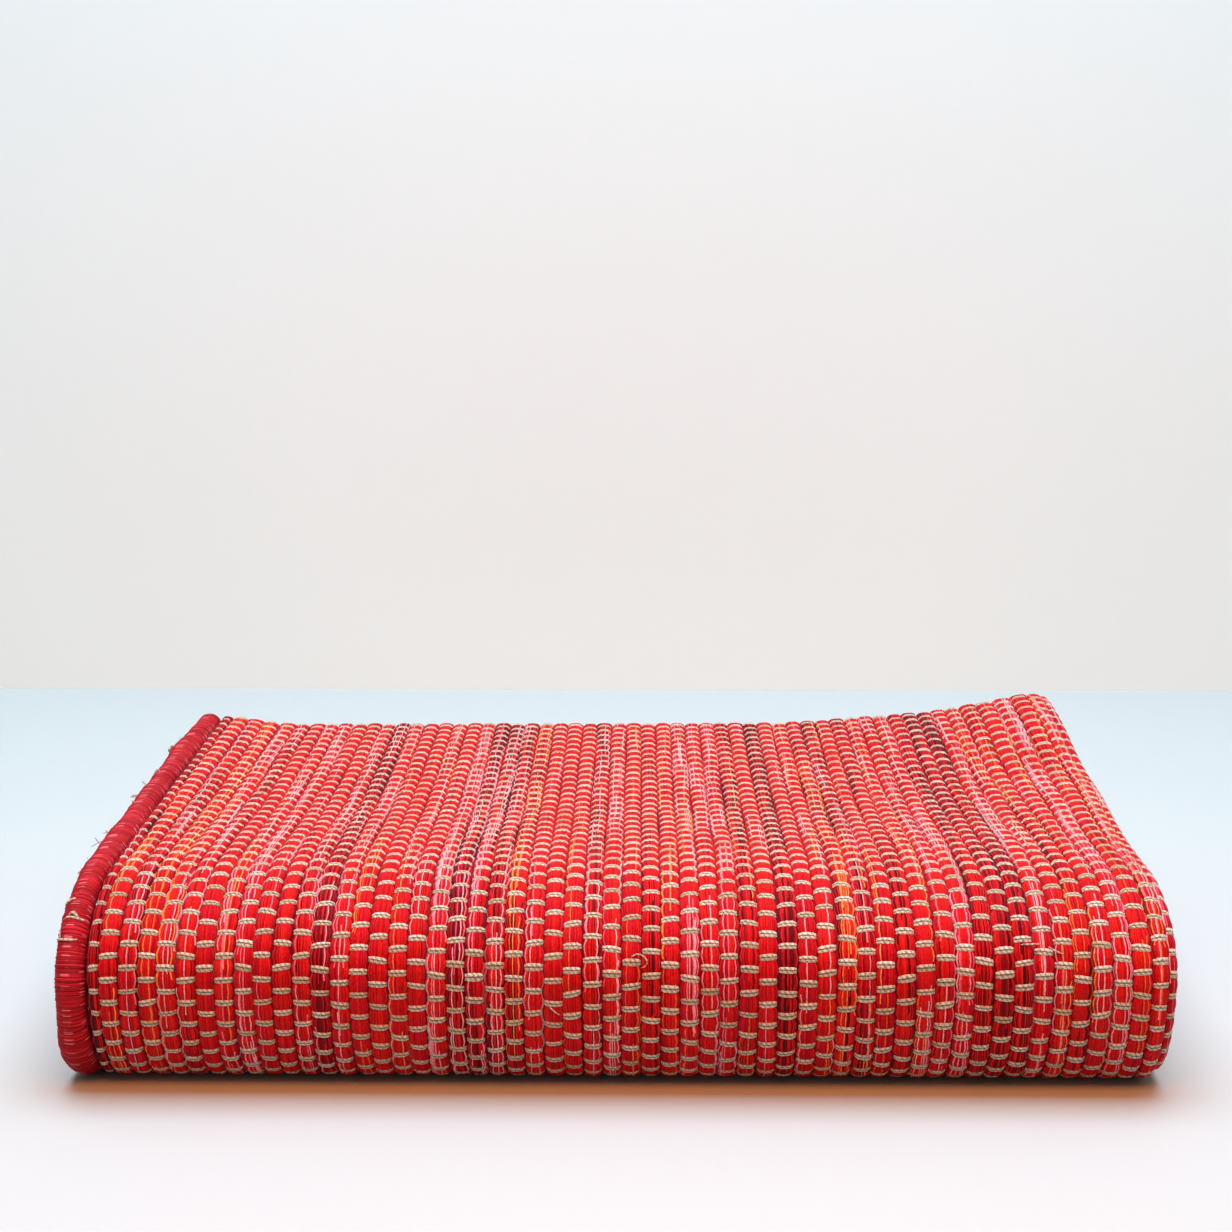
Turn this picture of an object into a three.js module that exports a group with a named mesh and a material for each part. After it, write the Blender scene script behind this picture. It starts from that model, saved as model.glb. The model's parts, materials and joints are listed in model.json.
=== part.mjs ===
// A long flat-woven rug, folded back and forth along its length and then in half across the stack.
//
// X runs along the rug's length, from its bound end on the left to the folds on the right.
// Y runs from the round front fold to the loose edges at the back. Z is up. Millimetres.
//
// Every piece is drawn in a flat section first: across (x) and depth (how far in from the outer face
// of the stack). The section is extruded along the C that the stack takes round its front fold.

import * as THREE from 'three';
import { mergeGeometries } from 'three/addons/utils/BufferGeometryUtils.js';

// The weave
const cordPitch = 10.5;
const ribDepth = 1.5;
const clothThickness = 12.5;

// The back-and-forth folds along the rug's length
const layerCount = 4;
const layerGap = 1.2;
const layerStep = clothThickness + layerGap;
const stackLength = 57.5 * cordPitch;
const foldReach = 1.5 * cordPitch;
const leftFoldInset = 5;

// The bound end
const bindingDiameter = 14;
const bindingUnevenness = 0.7;
const bindingSides = 12;
const bindingWave = 2.3;
const bindingDepth = bindingDiameter / 2 + 0.1;
const pieceGap = 0.4;

// The round front fold and the two halves that it joins
const upperRun = 422;
const lowerRun = 428;
const crestBack = 73.5;
const crestHeight = 115;
const noseHeight = 67;
const heelBack = 42;
const spineBack = 60;
const spineHeight = 55.4;
const halfDepth = layerCount * layerStep - layerGap / 2;

// How the top sags behind the crest, though not at its ends, and how it lifts towards the back
const topSag = 6;
const sagBack = 230;
const endRise = 1.5;
const leftRiseLength = 70;
const rightRiseLength = 80;
const liftStart = 255;
const backLift = 2.5;
const rightLift = 16.5;
const rightLiftLength = 19 * cordPitch;
const rightLiftPower = 1.3;

// How both ends of the upper half drift outwards towards the back
const leftFlare = { reach: 5.5, length: 80, start: 60, back: 300 };
const rightFlare = { reach: 8, length: 60, start: 110, back: 270 };

// How far each layer slips back round the front fold, in layers, at its left and right end. Layers
// that share a fold can't slip past each other there.
const layerSlips = [
  { left: 0, right: 0.5 },
  { left: 1.5, right: 0.5 },
  { left: 1.5, right: 2.5 },
  { left: 3, right: 2.5 },
];

// How the spare room in the stack is shared out: the gap under each layer takes its part
const gapShares = [0.45, 0.25, 0.2, 0.1];

// Steps along the C, from the lower back edge to the upper one
const lowerLegSteps = 2;
const lowerArcSteps = 6;
const upperArcSteps = 6;
const upperLegSteps = 9;
const pathSteps = lowerLegSteps + lowerArcSteps + upperArcSteps + upperLegSteps;

// Places along the rug where its plain faces bend, as shares of the folded length
const faceStations = [0.06, 0.12, 0.35, 0.58, 0.68, 0.76, 0.84, 0.91, 0.96];
const foldFacets = 8;

const mix = THREE.MathUtils.lerp;
const clamp = THREE.MathUtils.clamp;
const smooth = THREE.MathUtils.smoothstep;

// Length of a quarter of an ellipse, by Ramanujan's formula
function quarterLength(a, b) {
  return (Math.PI / 4) * (3 * (a + b) - Math.sqrt((3 * a + b) * (a + 3 * b)));
}

const spineRadius = layerGap / 2;
const upperArc = quarterLength(crestBack, crestHeight - noseHeight);
const lowerArc = quarterLength(heelBack, noseHeight);
const leftFoldX = leftFoldInset + foldReach;
const rightFoldX = stackLength - foldReach;
const backEdge = crestBack + upperRun - mix(upperArc, spineRadius, 0.5 / layerCount);

// Height of the outer face of the upper half: a bowl behind the crest and a back edge that lifts,
// most at its right corner
function topHeight(x, y) {
  const behindCrest = smooth(y, crestBack, sagBack);
  const atBack = smooth(y, liftStart, backEdge);
  const toLeft = 1 - smooth(x, 0, leftRiseLength);
  const toRightFold = smooth(x, stackLength - rightRiseLength, stackLength);
  const toRight = clamp(1 - (stackLength - x) / rightLiftLength, 0, 1) ** rightLiftPower;
  const bowl = behindCrest * mix(-topSag, endRise, toLeft + toRightFold);
  return crestHeight + bowl + atBack * (backLift + rightLift * toRight);
}

function layerOf(depth) {
  return clamp(Math.floor(depth / layerStep), 0, layerCount - 1);
}

// Depth of a point once the spare room in the stack has opened the gaps between its layers
function openedDepth(depth, room) {
  const layer = layerOf(depth);
  const intoGap = clamp((depth - layer * layerStep - clothThickness) / layerGap, 0, 1);
  const opened = gapShares.slice(0, layer).reduce((sum, share) => sum + share, intoGap * gapShares[layer]);
  return depth + (room - halfDepth) * opened;
}

// Place along one leg. Inner layers reach further back, because they use less cloth at the front fold.
function legPlace(x, depth, share, front, outerArc, run) {
  const across = clamp((x - leftFoldX) / (rightFoldX - leftFoldX), 0, 1);
  const slips = layerSlips[layerOf(depth)];
  const inward = (mix(slips.left, slips.right, across) + 0.5) / layerCount;
  return mix(front, spineBack, depth / halfDepth) + share * (run - mix(outerArc, spineRadius, inward));
}

function upperLeg(x, depth, share) {
  const y = legPlace(x, depth, share, crestBack, upperArc, upperRun);
  const top = topHeight(x, y);
  return [y, top - openedDepth(depth, top - spineHeight)];
}

function lowerLeg(x, depth, share) {
  const y = legPlace(x, depth, share, heelBack, lowerArc, lowerRun);
  return [y, openedDepth(depth, spineHeight)];
}

// Round the front: the outer face is two quarters of an ellipse and the middle is a tight turn
function frontArc(x, depth, angle) {
  const upper = angle > 0;
  const back = upper ? crestBack : heelBack;
  const rise = upper ? crestHeight - noseHeight : noseHeight;
  const outerY = back * (1 - Math.cos(angle));
  const outerZ = noseHeight + rise * Math.sin(angle);
  const innerY = spineBack - spineRadius * Math.cos(angle);
  const innerZ = spineHeight + spineRadius * Math.sin(angle);
  const room = Math.hypot(outerY - innerY, outerZ - innerZ);
  const share = openedDepth(depth, room) / room;
  return [mix(outerY, innerY, share), mix(outerZ, innerZ, share)];
}

// Point of the C for a step along it, from the lower back edge (0) to the upper one (pathSteps)
function placeOnPath(x, depth, step) {
  const heel = lowerLegSteps;
  const nose = heel + lowerArcSteps;
  const crest = nose + upperArcSteps;
  if (step <= heel) {
    return lowerLeg(x, depth, 1 - step / lowerLegSteps);
  }
  if (step < crest) {
    const steps = step < nose ? lowerArcSteps : upperArcSteps;
    return frontArc(x, depth, (Math.PI / 2) * (step - nose) / steps);
  }
  return upperLeg(x, depth, (step - crest) / upperLegSteps);
}

// Sideways flare of the upper half at both its ends
function flare(x, y, step) {
  if (step < lowerLegSteps + lowerArcSteps) {
    return 0;
  }
  const nearLeft = 1 - smooth(x, 0, leftFlare.length);
  const nearRight = smooth(x, stackLength - rightFlare.length, stackLength);
  const toRight = rightFlare.reach * smooth(y, rightFlare.start, rightFlare.back) * nearRight;
  return toRight - leftFlare.reach * smooth(y, leftFlare.start, leftFlare.back) * nearLeft;
}

// Bend an extruded section round the C. The ribs fade out where the rug lies on the floor.
function bendSection(geometry) {
  const position = geometry.attributes.position;
  for (let i = 0; i < position.count; i += 1) {
    const x = position.getX(i);
    const step = Math.round(position.getZ(i));
    const isValley = position.getY(i) > 0 && position.getY(i) <= ribDepth;
    const depth = isValley && step <= lowerLegSteps ? 0 : position.getY(i);
    const [y, z] = placeOnPath(x, depth, step);
    position.setXYZ(i, x + flare(x, y, step), y, z);
  }
  geometry.computeVertexNormals();
  return geometry;
}

function extrude(points) {
  const settings = { depth: pathSteps, steps: pathSteps, bevelEnabled: false };
  const geometry = new THREE.ExtrudeGeometry(new THREE.Shape(points), settings);
  geometry.deleteAttribute('normal');
  geometry.deleteAttribute('uv');
  return geometry;
}

// Ribbed face: a valley at each cord's edge and a crest at its middle
function ribbedFace(fromX, toX, depth) {
  const count = Math.round((toX - fromX) / cordPitch);
  const points = [];
  for (let i = 0; i <= 2 * count; i += 1) {
    const valley = i % 2 === 0 && i > 0 && i < 2 * count ? ribDepth : 0;
    points.push(new THREE.Vector2(mix(fromX, toX, i / (2 * count)), depth + valley));
  }
  return points;
}

// Plain face between two x positions. All faces bend at the same places.
function plainFace(fromX, toX, depth) {
  const low = Math.min(fromX, toX);
  const high = Math.max(fromX, toX);
  const between = faceStations.map((share) => share * stackLength).filter((x) => x > low && x < high);
  const points = [low, ...between, high].map((x) => new THREE.Vector2(x, depth));
  return fromX < toX ? points : points.reverse();
}

// Outside of a fold: a ribbed half round, from the layer above it to the layer below
function foldOutside(x, middleDepth, side) {
  const half = layerStep - layerGap / 2;
  const points = [];
  for (let i = 0; i <= foldFacets; i += 1) {
    const angle = Math.PI * (i / foldFacets - 0.5);
    const valley = i % 2 === 0 && i > 0 && i < foldFacets ? ribDepth : 0;
    const reach = (foldReach - valley) * Math.cos(angle);
    points.push(new THREE.Vector2(x + side * reach, middleDepth + (half - valley) * Math.sin(angle)));
  }
  return points;
}

// Inside of a fold: a narrow round slot, from the layer above it to the layer below
function foldInside(x, middleDepth, side) {
  return [
    new THREE.Vector2(x, middleDepth - layerGap / 2),
    new THREE.Vector2(x + side * (foldReach - clothThickness), middleDepth),
    new THREE.Vector2(x, middleDepth + layerGap / 2),
  ];
}

// The cloth from its outer end to its inner one, as bands: each layer and each fold with its two faces
function clothBands() {
  const startX = bindingDiameter + pieceGap;
  const middle = (fold) => fold * layerStep - layerGap / 2;
  const above = (layer) => (layer - 1) * layerStep;
  const below = (layer) => above(layer) + clothThickness;
  return [
    [ribbedFace(startX, rightFoldX, above(1)), plainFace(startX, rightFoldX, below(1))],
    [foldOutside(rightFoldX, middle(1), 1), foldInside(rightFoldX, middle(1), 1)],
    [plainFace(rightFoldX, leftFoldX, below(2)), plainFace(rightFoldX, leftFoldX, above(2))],
    [foldInside(leftFoldX, middle(2), -1), foldOutside(leftFoldX, middle(2), -1)],
    [plainFace(leftFoldX, rightFoldX, above(3)), plainFace(leftFoldX, rightFoldX, below(3))],
    [foldOutside(rightFoldX, middle(3), 1), foldInside(rightFoldX, middle(3), 1)],
    [plainFace(rightFoldX, startX, below(4)), plainFace(rightFoldX, startX, above(4))],
  ];
}

// Outline of the section: along one face of the cloth and back along the other
function outlineOf(bands) {
  const oneFace = bands.flatMap((band) => band[0]);
  const otherFace = bands.flatMap((band) => band[1]).reverse();
  return [...oneFace, ...otherFace].filter((point, i, all) => i === 0 || point.distanceTo(all[i - 1]) > 0.01);
}

// Cells of a band's cut edge, so that each flat facet there stays short. The face with more points is
// shared out between the points of the other face.
function cellsOf(band) {
  const [fine, coarse] = band[0].length >= band[1].length ? band : [band[1], band[0]];
  const cells = [];
  let from = 0;
  for (let i = 1; i < coarse.length; i += 1) {
    const to = nearest(fine, coarse[i], i === coarse.length - 1);
    cells.push([...fine.slice(from, to + 1), coarse[i], coarse[i - 1]]);
    from = to;
  }
  return cells;
}

function nearest(points, target, isLast) {
  const distances = points.map((point) => point.distanceTo(target));
  return isLast ? points.length - 1 : distances.indexOf(Math.min(...distances));
}

// Cut edge of the cloth at one end of the path
function cutEdge(bands, step) {
  const cells = bands.flatMap(cellsOf).map((points) => new THREE.Shape(points));
  const edge = new THREE.ShapeGeometry(cells);
  if (step === 0) {
    edge.index.array.reverse();
  }
  edge.deleteAttribute('normal');
  edge.deleteAttribute('uv');
  return edge.translate(0, 0, step).toNonIndexed();
}

function makeRug() {
  const weft = new THREE.MeshStandardMaterial({ color: 0xc8362f, roughness: 0.85, metalness: 0 });
  const bands = clothBands();
  const faces = extrude(outlineOf(bands));
  const walls = faces.groups[1];
  const wallPoints = faces.attributes.position.array.slice(3 * walls.start, 3 * (walls.start + walls.count));
  const wall = new THREE.BufferGeometry().setAttribute('position', new THREE.BufferAttribute(wallPoints, 3));
  const geometry = mergeGeometries([wall, cutEdge(bands, 0), cutEdge(bands, pathSteps)]);
  const rug = new THREE.Mesh(bendSection(geometry), weft);
  rug.name = 'rug';
  return rug;
}

// Edge roll of yarn whipped over the warp ends, a little uneven along its length
function makeBinding(name, middleDepth) {
  const radius = bindingDiameter / 2;
  const circle = [];
  for (let i = 0; i < bindingSides; i += 1) {
    const angle = (2 * Math.PI * i) / bindingSides;
    circle.push(new THREE.Vector2(radius * Math.cos(angle), radius * Math.sin(angle)));
  }
  const geometry = extrude(circle);
  const position = geometry.attributes.position;
  for (let i = 0; i < position.count; i += 1) {
    const wave = 0.5 + 0.5 * Math.sin(bindingWave * position.getZ(i));
    const size = 1 - (bindingUnevenness / radius) * wave;
    position.setX(i, radius + size * position.getX(i));
    position.setY(i, middleDepth + size * position.getY(i));
  }
  const yarn = new THREE.MeshStandardMaterial({ color: 0xb3202a, roughness: 0.6, metalness: 0 });
  const binding = new THREE.Mesh(bendSection(geometry), yarn);
  binding.name = name;
  return binding;
}

const stack = new THREE.Group();
stack.add(makeRug());
stack.add(makeBinding('outer_binding', bindingDepth));
stack.add(makeBinding('inner_binding', halfDepth - bindingDepth));

// The origin is on the floor, under the middle of the stack's box
const box = new THREE.Box3().setFromObject(stack, true);
stack.position.set(-(box.min.x + box.max.x) / 2, -(box.min.y + box.max.y) / 2, -box.min.z);

const foldedRug = new THREE.Group();
foldedRug.add(stack);

export default foldedRug;
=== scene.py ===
# %% [markdown]
# A folded flat-woven rug
#
# The object is a thick runner, woven from fat bundles of dyed thread (the weft cords) that are crossed
# by thin jute strands (the warp). It is folded back and forth along its length and then once across, so
# one round fold faces the viewer. One end is bound with crimson yarn and lies on the left.
#
# A folded cloth could be draped by simulation, but a stack as stiff and as neat as this one is better
# worked out: every point of the flat rug is carried to its place in the stack by one function. The cords,
# the jute bars and the binding are all made flat first and then carried over by that same function, so
# they always fit each other.

# %% The frame and the working units
import json
import math
from functools import partial

import bmesh
import bpy
import numpy as np
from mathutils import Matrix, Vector

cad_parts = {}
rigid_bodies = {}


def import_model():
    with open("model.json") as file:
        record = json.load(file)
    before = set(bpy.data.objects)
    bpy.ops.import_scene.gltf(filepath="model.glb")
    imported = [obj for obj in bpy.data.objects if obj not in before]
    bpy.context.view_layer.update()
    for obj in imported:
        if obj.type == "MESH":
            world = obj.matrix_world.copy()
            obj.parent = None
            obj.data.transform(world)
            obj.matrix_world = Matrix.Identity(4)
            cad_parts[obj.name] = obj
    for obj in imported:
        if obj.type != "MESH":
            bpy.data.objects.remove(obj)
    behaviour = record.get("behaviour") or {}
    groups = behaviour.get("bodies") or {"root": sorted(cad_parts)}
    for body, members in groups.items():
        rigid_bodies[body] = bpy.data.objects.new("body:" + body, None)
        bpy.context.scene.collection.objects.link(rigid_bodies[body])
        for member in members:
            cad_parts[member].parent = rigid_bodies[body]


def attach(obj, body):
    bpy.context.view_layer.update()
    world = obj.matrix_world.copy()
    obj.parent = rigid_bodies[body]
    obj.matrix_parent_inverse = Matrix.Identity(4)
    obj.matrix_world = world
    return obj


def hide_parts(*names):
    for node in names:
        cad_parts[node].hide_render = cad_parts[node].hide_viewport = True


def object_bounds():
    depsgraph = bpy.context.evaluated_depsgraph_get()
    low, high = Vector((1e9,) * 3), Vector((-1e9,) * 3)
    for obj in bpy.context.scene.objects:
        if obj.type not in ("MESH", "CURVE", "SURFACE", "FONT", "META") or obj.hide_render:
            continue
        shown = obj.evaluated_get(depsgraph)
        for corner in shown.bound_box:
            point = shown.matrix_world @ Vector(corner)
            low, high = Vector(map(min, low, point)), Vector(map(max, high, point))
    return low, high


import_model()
CAD_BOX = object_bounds()
MM = 0.001
RANDOM = np.random.default_rng(11)
print("CAD box:", [list(map(float, corner)) for corner in CAD_BOX])

# %% [markdown]
# The driving sizes
#
# The width of one cord sets the scale of everything. The cloth is 12.5 mm thick, and its layers lie
# about a millimetre apart. The same sizes shape the solids of the frame, so the cords land on them.

# %% Sizes of the cloth and of the stack
CORD = 10.5 * MM
CLOTH = 12.5 * MM
GAP = 1.2 * MM
STEP = CLOTH + GAP
LAYERS = 4
STACK_LENGTH = 57.5 * CORD
FOLD_REACH = 1.5 * CORD
LEFT_FOLD_INSET = 5 * MM
BINDING_RADIUS = 7 * MM
BINDING_DEPTH = BINDING_RADIUS + 0.1 * MM
PIECE_GAP = 0.4 * MM

UPPER_RUN = 422 * MM
LOWER_RUN = 428 * MM
CREST_BACK = 73.5 * MM
CREST_HEIGHT = 115 * MM
NOSE_HEIGHT = 67 * MM
HEEL_BACK = 42 * MM
SPINE_BACK = 60 * MM
SPINE_HEIGHT = 55.4 * MM
SPINE_RADIUS = GAP / 2
HALF_DEPTH = LAYERS * STEP - GAP / 2
GAP_SHARES = [0.45, 0.25, 0.2, 0.1]

TOP_SAG = 6 * MM
SAG_BACK = 230 * MM
END_RISE = 1.5 * MM
LEFT_RISE_LENGTH = 70 * MM
RIGHT_RISE_LENGTH = 80 * MM
LIFT_START = 255 * MM
BACK_LIFT = 2.5 * MM
RIGHT_LIFT = 16.5 * MM
RIGHT_LIFT_LENGTH = 19 * CORD
RIGHT_LIFT_POWER = 1.3
LEFT_FLARE = {"reach": 5.5 * MM, "length": 80 * MM, "start": 60 * MM, "back": 300 * MM}
RIGHT_FLARE = {"reach": 8 * MM, "length": 60 * MM, "start": 110 * MM, "back": 270 * MM}
ORIGIN = np.array([CAD_BOX[0][0] + LEFT_FLARE["reach"], CAD_BOX[0][1], 0.0])


def mix(a, b, share):
    return a + (b - a) * share


def smooth(value, low, high):
    t = np.clip((value - low) / (high - low), 0, 1)
    return t * t * (3 - 2 * t)


def quarter_length(a, b):
    return math.pi / 4 * (3 * (a + b) - math.sqrt((3 * a + b) * (a + 3 * b)))


UPPER_ARC = quarter_length(CREST_BACK, CREST_HEIGHT - NOSE_HEIGHT)
LOWER_ARC = quarter_length(HEEL_BACK, NOSE_HEIGHT)
BACK_EDGE = CREST_BACK + UPPER_RUN - mix(UPPER_ARC, SPINE_RADIUS, 0.5 / LAYERS)
print("back edge of the top layer:", round(BACK_EDGE, 4), "m behind the front")

# %% [markdown]
# Round the front fold
#
# The stack goes round the front on two quarters of an ellipse. Warp bars are evenly spaced on the real
# cloth, so the turn is tabled by its length and not by its angle. Inner layers need less cloth for the
# turn, so their loose edges come out further at the back, as the pages of a folded magazine do.


# %% Carry a point of the section to its place in the stack
TURN_STEPS = 121


def turn_table(back, rise):
    """Share of the length of a quarter turn, and the angle reached there."""
    angle = np.linspace(0, math.pi / 2, TURN_STEPS)
    speed = np.hypot(back * np.sin(angle), rise * np.cos(angle))
    length = np.concatenate([[0], np.cumsum((speed[1:] + speed[:-1]) / 2)])
    return length / length[-1], angle


UPPER_TURN = turn_table(CREST_BACK, CREST_HEIGHT - NOSE_HEIGHT)
LOWER_TURN = turn_table(HEEL_BACK, NOSE_HEIGHT)


def top_height(x, y):
    """Height of the top: it sags along the middle and rises at the back, most at the right."""
    behind_crest = smooth(y, CREST_BACK, SAG_BACK)
    at_back = smooth(y, LIFT_START, BACK_EDGE)
    to_left = 1 - smooth(x, 0, LEFT_RISE_LENGTH)
    to_right = np.clip(1 - (STACK_LENGTH - x) / RIGHT_LIFT_LENGTH, 0, 1) ** RIGHT_LIFT_POWER
    to_right_fold = smooth(x, STACK_LENGTH - RIGHT_RISE_LENGTH, STACK_LENGTH)
    bowl = behind_crest * mix(-TOP_SAG, END_RISE, to_left + to_right_fold)
    return CREST_HEIGHT + bowl + at_back * (BACK_LIFT + RIGHT_LIFT * to_right)


def opened_depth(depth, room):
    """Depth in the stack where there is more or less room than the cloth needs: the gaps take it up."""
    layer = np.clip(np.floor(depth / STEP), 0, LAYERS - 1)
    into_gap = np.clip((depth - layer * STEP - CLOTH) / GAP, 0, 1)
    opened = np.interp(layer + into_gap, range(LAYERS + 1), np.concatenate([[0], np.cumsum(GAP_SHARES)]))
    return depth + (room - HALF_DEPTH) * opened


def place_in_stack(x, depth, slip, run):
    """x and depth are in the folded section, slip is how far the layer slips, run is from the front line."""
    upper = run >= 0
    side = np.where(upper, 1.0, -1.0)
    back = np.where(upper, CREST_BACK, HEEL_BACK)
    rise = np.where(upper, CREST_HEIGHT - NOSE_HEIGHT, NOSE_HEIGHT)
    arc = mix(np.where(upper, UPPER_ARC, LOWER_ARC), SPINE_RADIUS, (slip + 0.5) / LAYERS)
    share = np.clip(np.abs(run) / arc, 0, 1)
    angle = np.where(upper, np.interp(share, *UPPER_TURN), np.interp(share, *LOWER_TURN))
    outer_y = back * (1 - np.cos(angle))
    outer_z = NOSE_HEIGHT + side * rise * np.sin(angle)
    inner_y = SPINE_BACK - SPINE_RADIUS * np.cos(angle)
    inner_z = SPINE_HEIGHT + side * SPINE_RADIUS * np.sin(angle)
    room = np.hypot(outer_y - inner_y, outer_z - inner_z)
    inward = opened_depth(depth, room) / room
    beyond = np.maximum(np.abs(run) - arc, 0)
    y = mix(outer_y, inner_y, inward) + beyond
    arc_z = mix(outer_z, inner_z, inward)
    top = top_height(x, y)
    leg_z = np.where(upper, top - opened_depth(depth, top - SPINE_HEIGHT), opened_depth(depth, SPINE_HEIGHT))
    z = np.where(beyond > 0, leg_z, arc_z)
    near_left = 1 - smooth(x, 0, LEFT_FLARE["length"])
    near_right = smooth(x, STACK_LENGTH - RIGHT_FLARE["length"], STACK_LENGTH)
    to_right = RIGHT_FLARE["reach"] * smooth(y, RIGHT_FLARE["start"], RIGHT_FLARE["back"]) * near_right
    to_left = LEFT_FLARE["reach"] * smooth(y, LEFT_FLARE["start"], LEFT_FLARE["back"]) * near_left
    return np.stack([x + np.where(upper, to_right - to_left, 0), y, z], axis=-1) + ORIGIN


# %% [markdown]
# Back and forth along the rug
#
# Along its length the rug runs right, turns, runs left, turns, and so on. A point of the flat rug is
# given by its length along the rug and its lift off the middle of the cloth. Lift is positive on the face
# that shows on top of the stack. The slips count, in layers from the outside, how deep each layer starts
# and ends: deeper cloth needs less for the turn round the front.

# %% Carry a point of the flat rug into the folded section
START_X = 2 * BINDING_RADIUS + PIECE_GAP
RIGHT_X = STACK_LENGTH - FOLD_REACH
LEFT_X = LEFT_FOLD_INSET + FOLD_REACH
FOLD_HALF = STEP - GAP / 2
FOLD_TURN = 2 * quarter_length(FOLD_REACH, FOLD_HALF)
TURNING_X = [START_X, RIGHT_X, LEFT_X, RIGHT_X, START_X]
SLIPS = [0, 0.5, 0.5, 1.5, 1.5, 2.5, 2.5, 3]
layer_lengths = [abs(to_x - from_x) for from_x, to_x in zip(TURNING_X, TURNING_X[1:])]
LAYER_STARTS = [sum(layer_lengths[:i]) + i * FOLD_TURN for i in range(LAYERS)]
LAYER_ENDS = [start + length for start, length in zip(LAYER_STARTS, layer_lengths)]
RUG_LENGTH = LAYER_ENDS[-1]
RUG_WIDTH = UPPER_RUN + LOWER_RUN
print("rug, flat:", round(RUG_WIDTH, 3), "m by", round(RUG_LENGTH + 4 * BINDING_RADIUS, 3), "m")


def carry(length, lift, run):
    """Place in the stack of a point of the flat rug."""
    layer = np.clip(np.searchsorted(LAYER_STARTS, length, side="right") - 1, 0, LAYERS - 1)
    from_x = np.array(TURNING_X[:-1])[layer]
    to_x = np.array(TURNING_X[1:])[layer]
    along = length - np.array(LAYER_STARTS)[layer]
    full = np.array(layer_lengths)[layer]
    way = np.sign(to_x - from_x)
    straight_depth = layer * STEP + CLOTH / 2 - way * lift
    straight_x = from_x + way * np.minimum(along, full)
    angle = math.pi * (np.clip((along - full) / FOLD_TURN, 0, 1) - 0.5)
    fold_x = to_x + way * (FOLD_REACH - CLOTH / 2 + way * lift) * np.cos(angle)
    fold_depth = (layer + 1) * STEP - GAP / 2 + (FOLD_HALF - CLOTH / 2 + way * lift) * np.sin(angle)
    in_fold = along > full
    x = np.where(in_fold, fold_x, straight_x)
    depth = np.where(in_fold, fold_depth, straight_depth)
    knots = np.ravel(list(zip(LAYER_STARTS, LAYER_ENDS)))
    slip = np.interp(length, knots, SLIPS)
    return place_in_stack(x, depth, slip, run)


# %% [markdown]
# The weave
#
# Each cord is a round bundle. A jute bar crosses it every 13.3 mm and pinches it, so it bulges between
# the bars like a string of barrels, and bars on neighbouring cords are staggered by half a spacing, so
# each barrel leans into the waists of its neighbours. The warp drifts a little along the rug, as
# hand-beaten weaving does. Round the front fold the outer face of the cloth is stretched, and the bars
# are spaced along that face.

# %% Height of the woven face
BAR_SPACING = 13.33 * MM
CORD_START = -2.4 * MM
CROWD = 2.3 * MM
CROWDED_CORDS = 22
FIRST_CORD = 6.0 * MM
FIRST_CORD_LIFT = 0.8
CREST_LIFT = 6.0 * MM
GROOVE_LIFT = 2.8 * MM
CORD_SQUARENESS = 3.0
PINCH_WIDTH = 2.8 * MM
PINCH = 0.27
PINCH_ROUNDING = 0.6
SQUEEZE = 0.07
FATNESS = 0.05
SKEW_CORDS = [0, 11, 20, 30, 41, 49, 57]
SKEW = np.array([4.2, 4.2, 8.1, 14.5, 20.6, 27.0, 33.0]) * MM
SELVEDGE = CREST_LIFT
DRIFT_WAVES = [
    {"high": 0.35 * MM, "length": 23 * MM, "start": 0.0},
    {"high": 0.25 * MM, "length": 11 * MM, "start": 1.3},
]
SWAY_WAVES = [
    {"high": 0.32 * MM, "length": 41 * MM, "start": 2.4},
    {"high": 0.22 * MM, "length": 17 * MM, "start": 5.1},
]
FAT_WAVES = [{"high": FATNESS, "length": 50 * MM, "start": 3.7}]


def waves(place, rows, number=1):
    """A few slow waves added up; the number of a cord shifts where they start."""
    return sum(row["high"] * np.sin(place / row["length"] + row["start"] * number) for row in rows)


def warp_drift(length):
    """How far the rows of bars have slid towards the front, which grows along the rug."""
    return np.interp(length / CORD, SKEW_CORDS, SKEW) + waves(length, DRIFT_WAVES)


def cord_place(cord):
    """Length along the rug of a place counted in cords. The first cord is thin, half under the binding."""
    place = CORD_START + cord * CORD - CROWD * smooth(cord, 1, CROWDED_CORDS)
    return place + (CORD - FIRST_CORD) * np.clip(1 - cord, 0, 1)


def cord_sway(cord, run):
    """Sideways wander of one cord."""
    return waves(run, SWAY_WAVES, cord)


def arc_and_stretch(length, upper):
    """The turn of the outer layer at mid cloth, and how much longer it is on its outer face."""
    outer = np.where(upper, UPPER_ARC, LOWER_ARC)
    slip = 0.5 * np.clip(length / LAYER_ENDS[0], 0, 1)
    arc = mix(outer, SPINE_RADIUS, (slip + 0.5) / LAYERS)
    return arc, np.where(length < LAYER_STARTS[1] + CORD, outer - arc, 0)


def face_distance(length, run):
    """Distance from the front line along the face: the bars are evenly spaced by this."""
    arc, stretch = arc_and_stretch(length, run >= 0)
    return run + stretch * np.clip(run / arc, -1, 1)


def bar_phase(cord, run, face):
    """Count of bars from the front line; it is a whole number in the middle of each bar."""
    middle = (cord + 0.5) * CORD
    stagger = 0.5 * np.mod(cord + (face < 0), 2)
    return (face_distance(middle, run) + warp_drift(middle)) / BAR_SPACING + stagger


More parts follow.
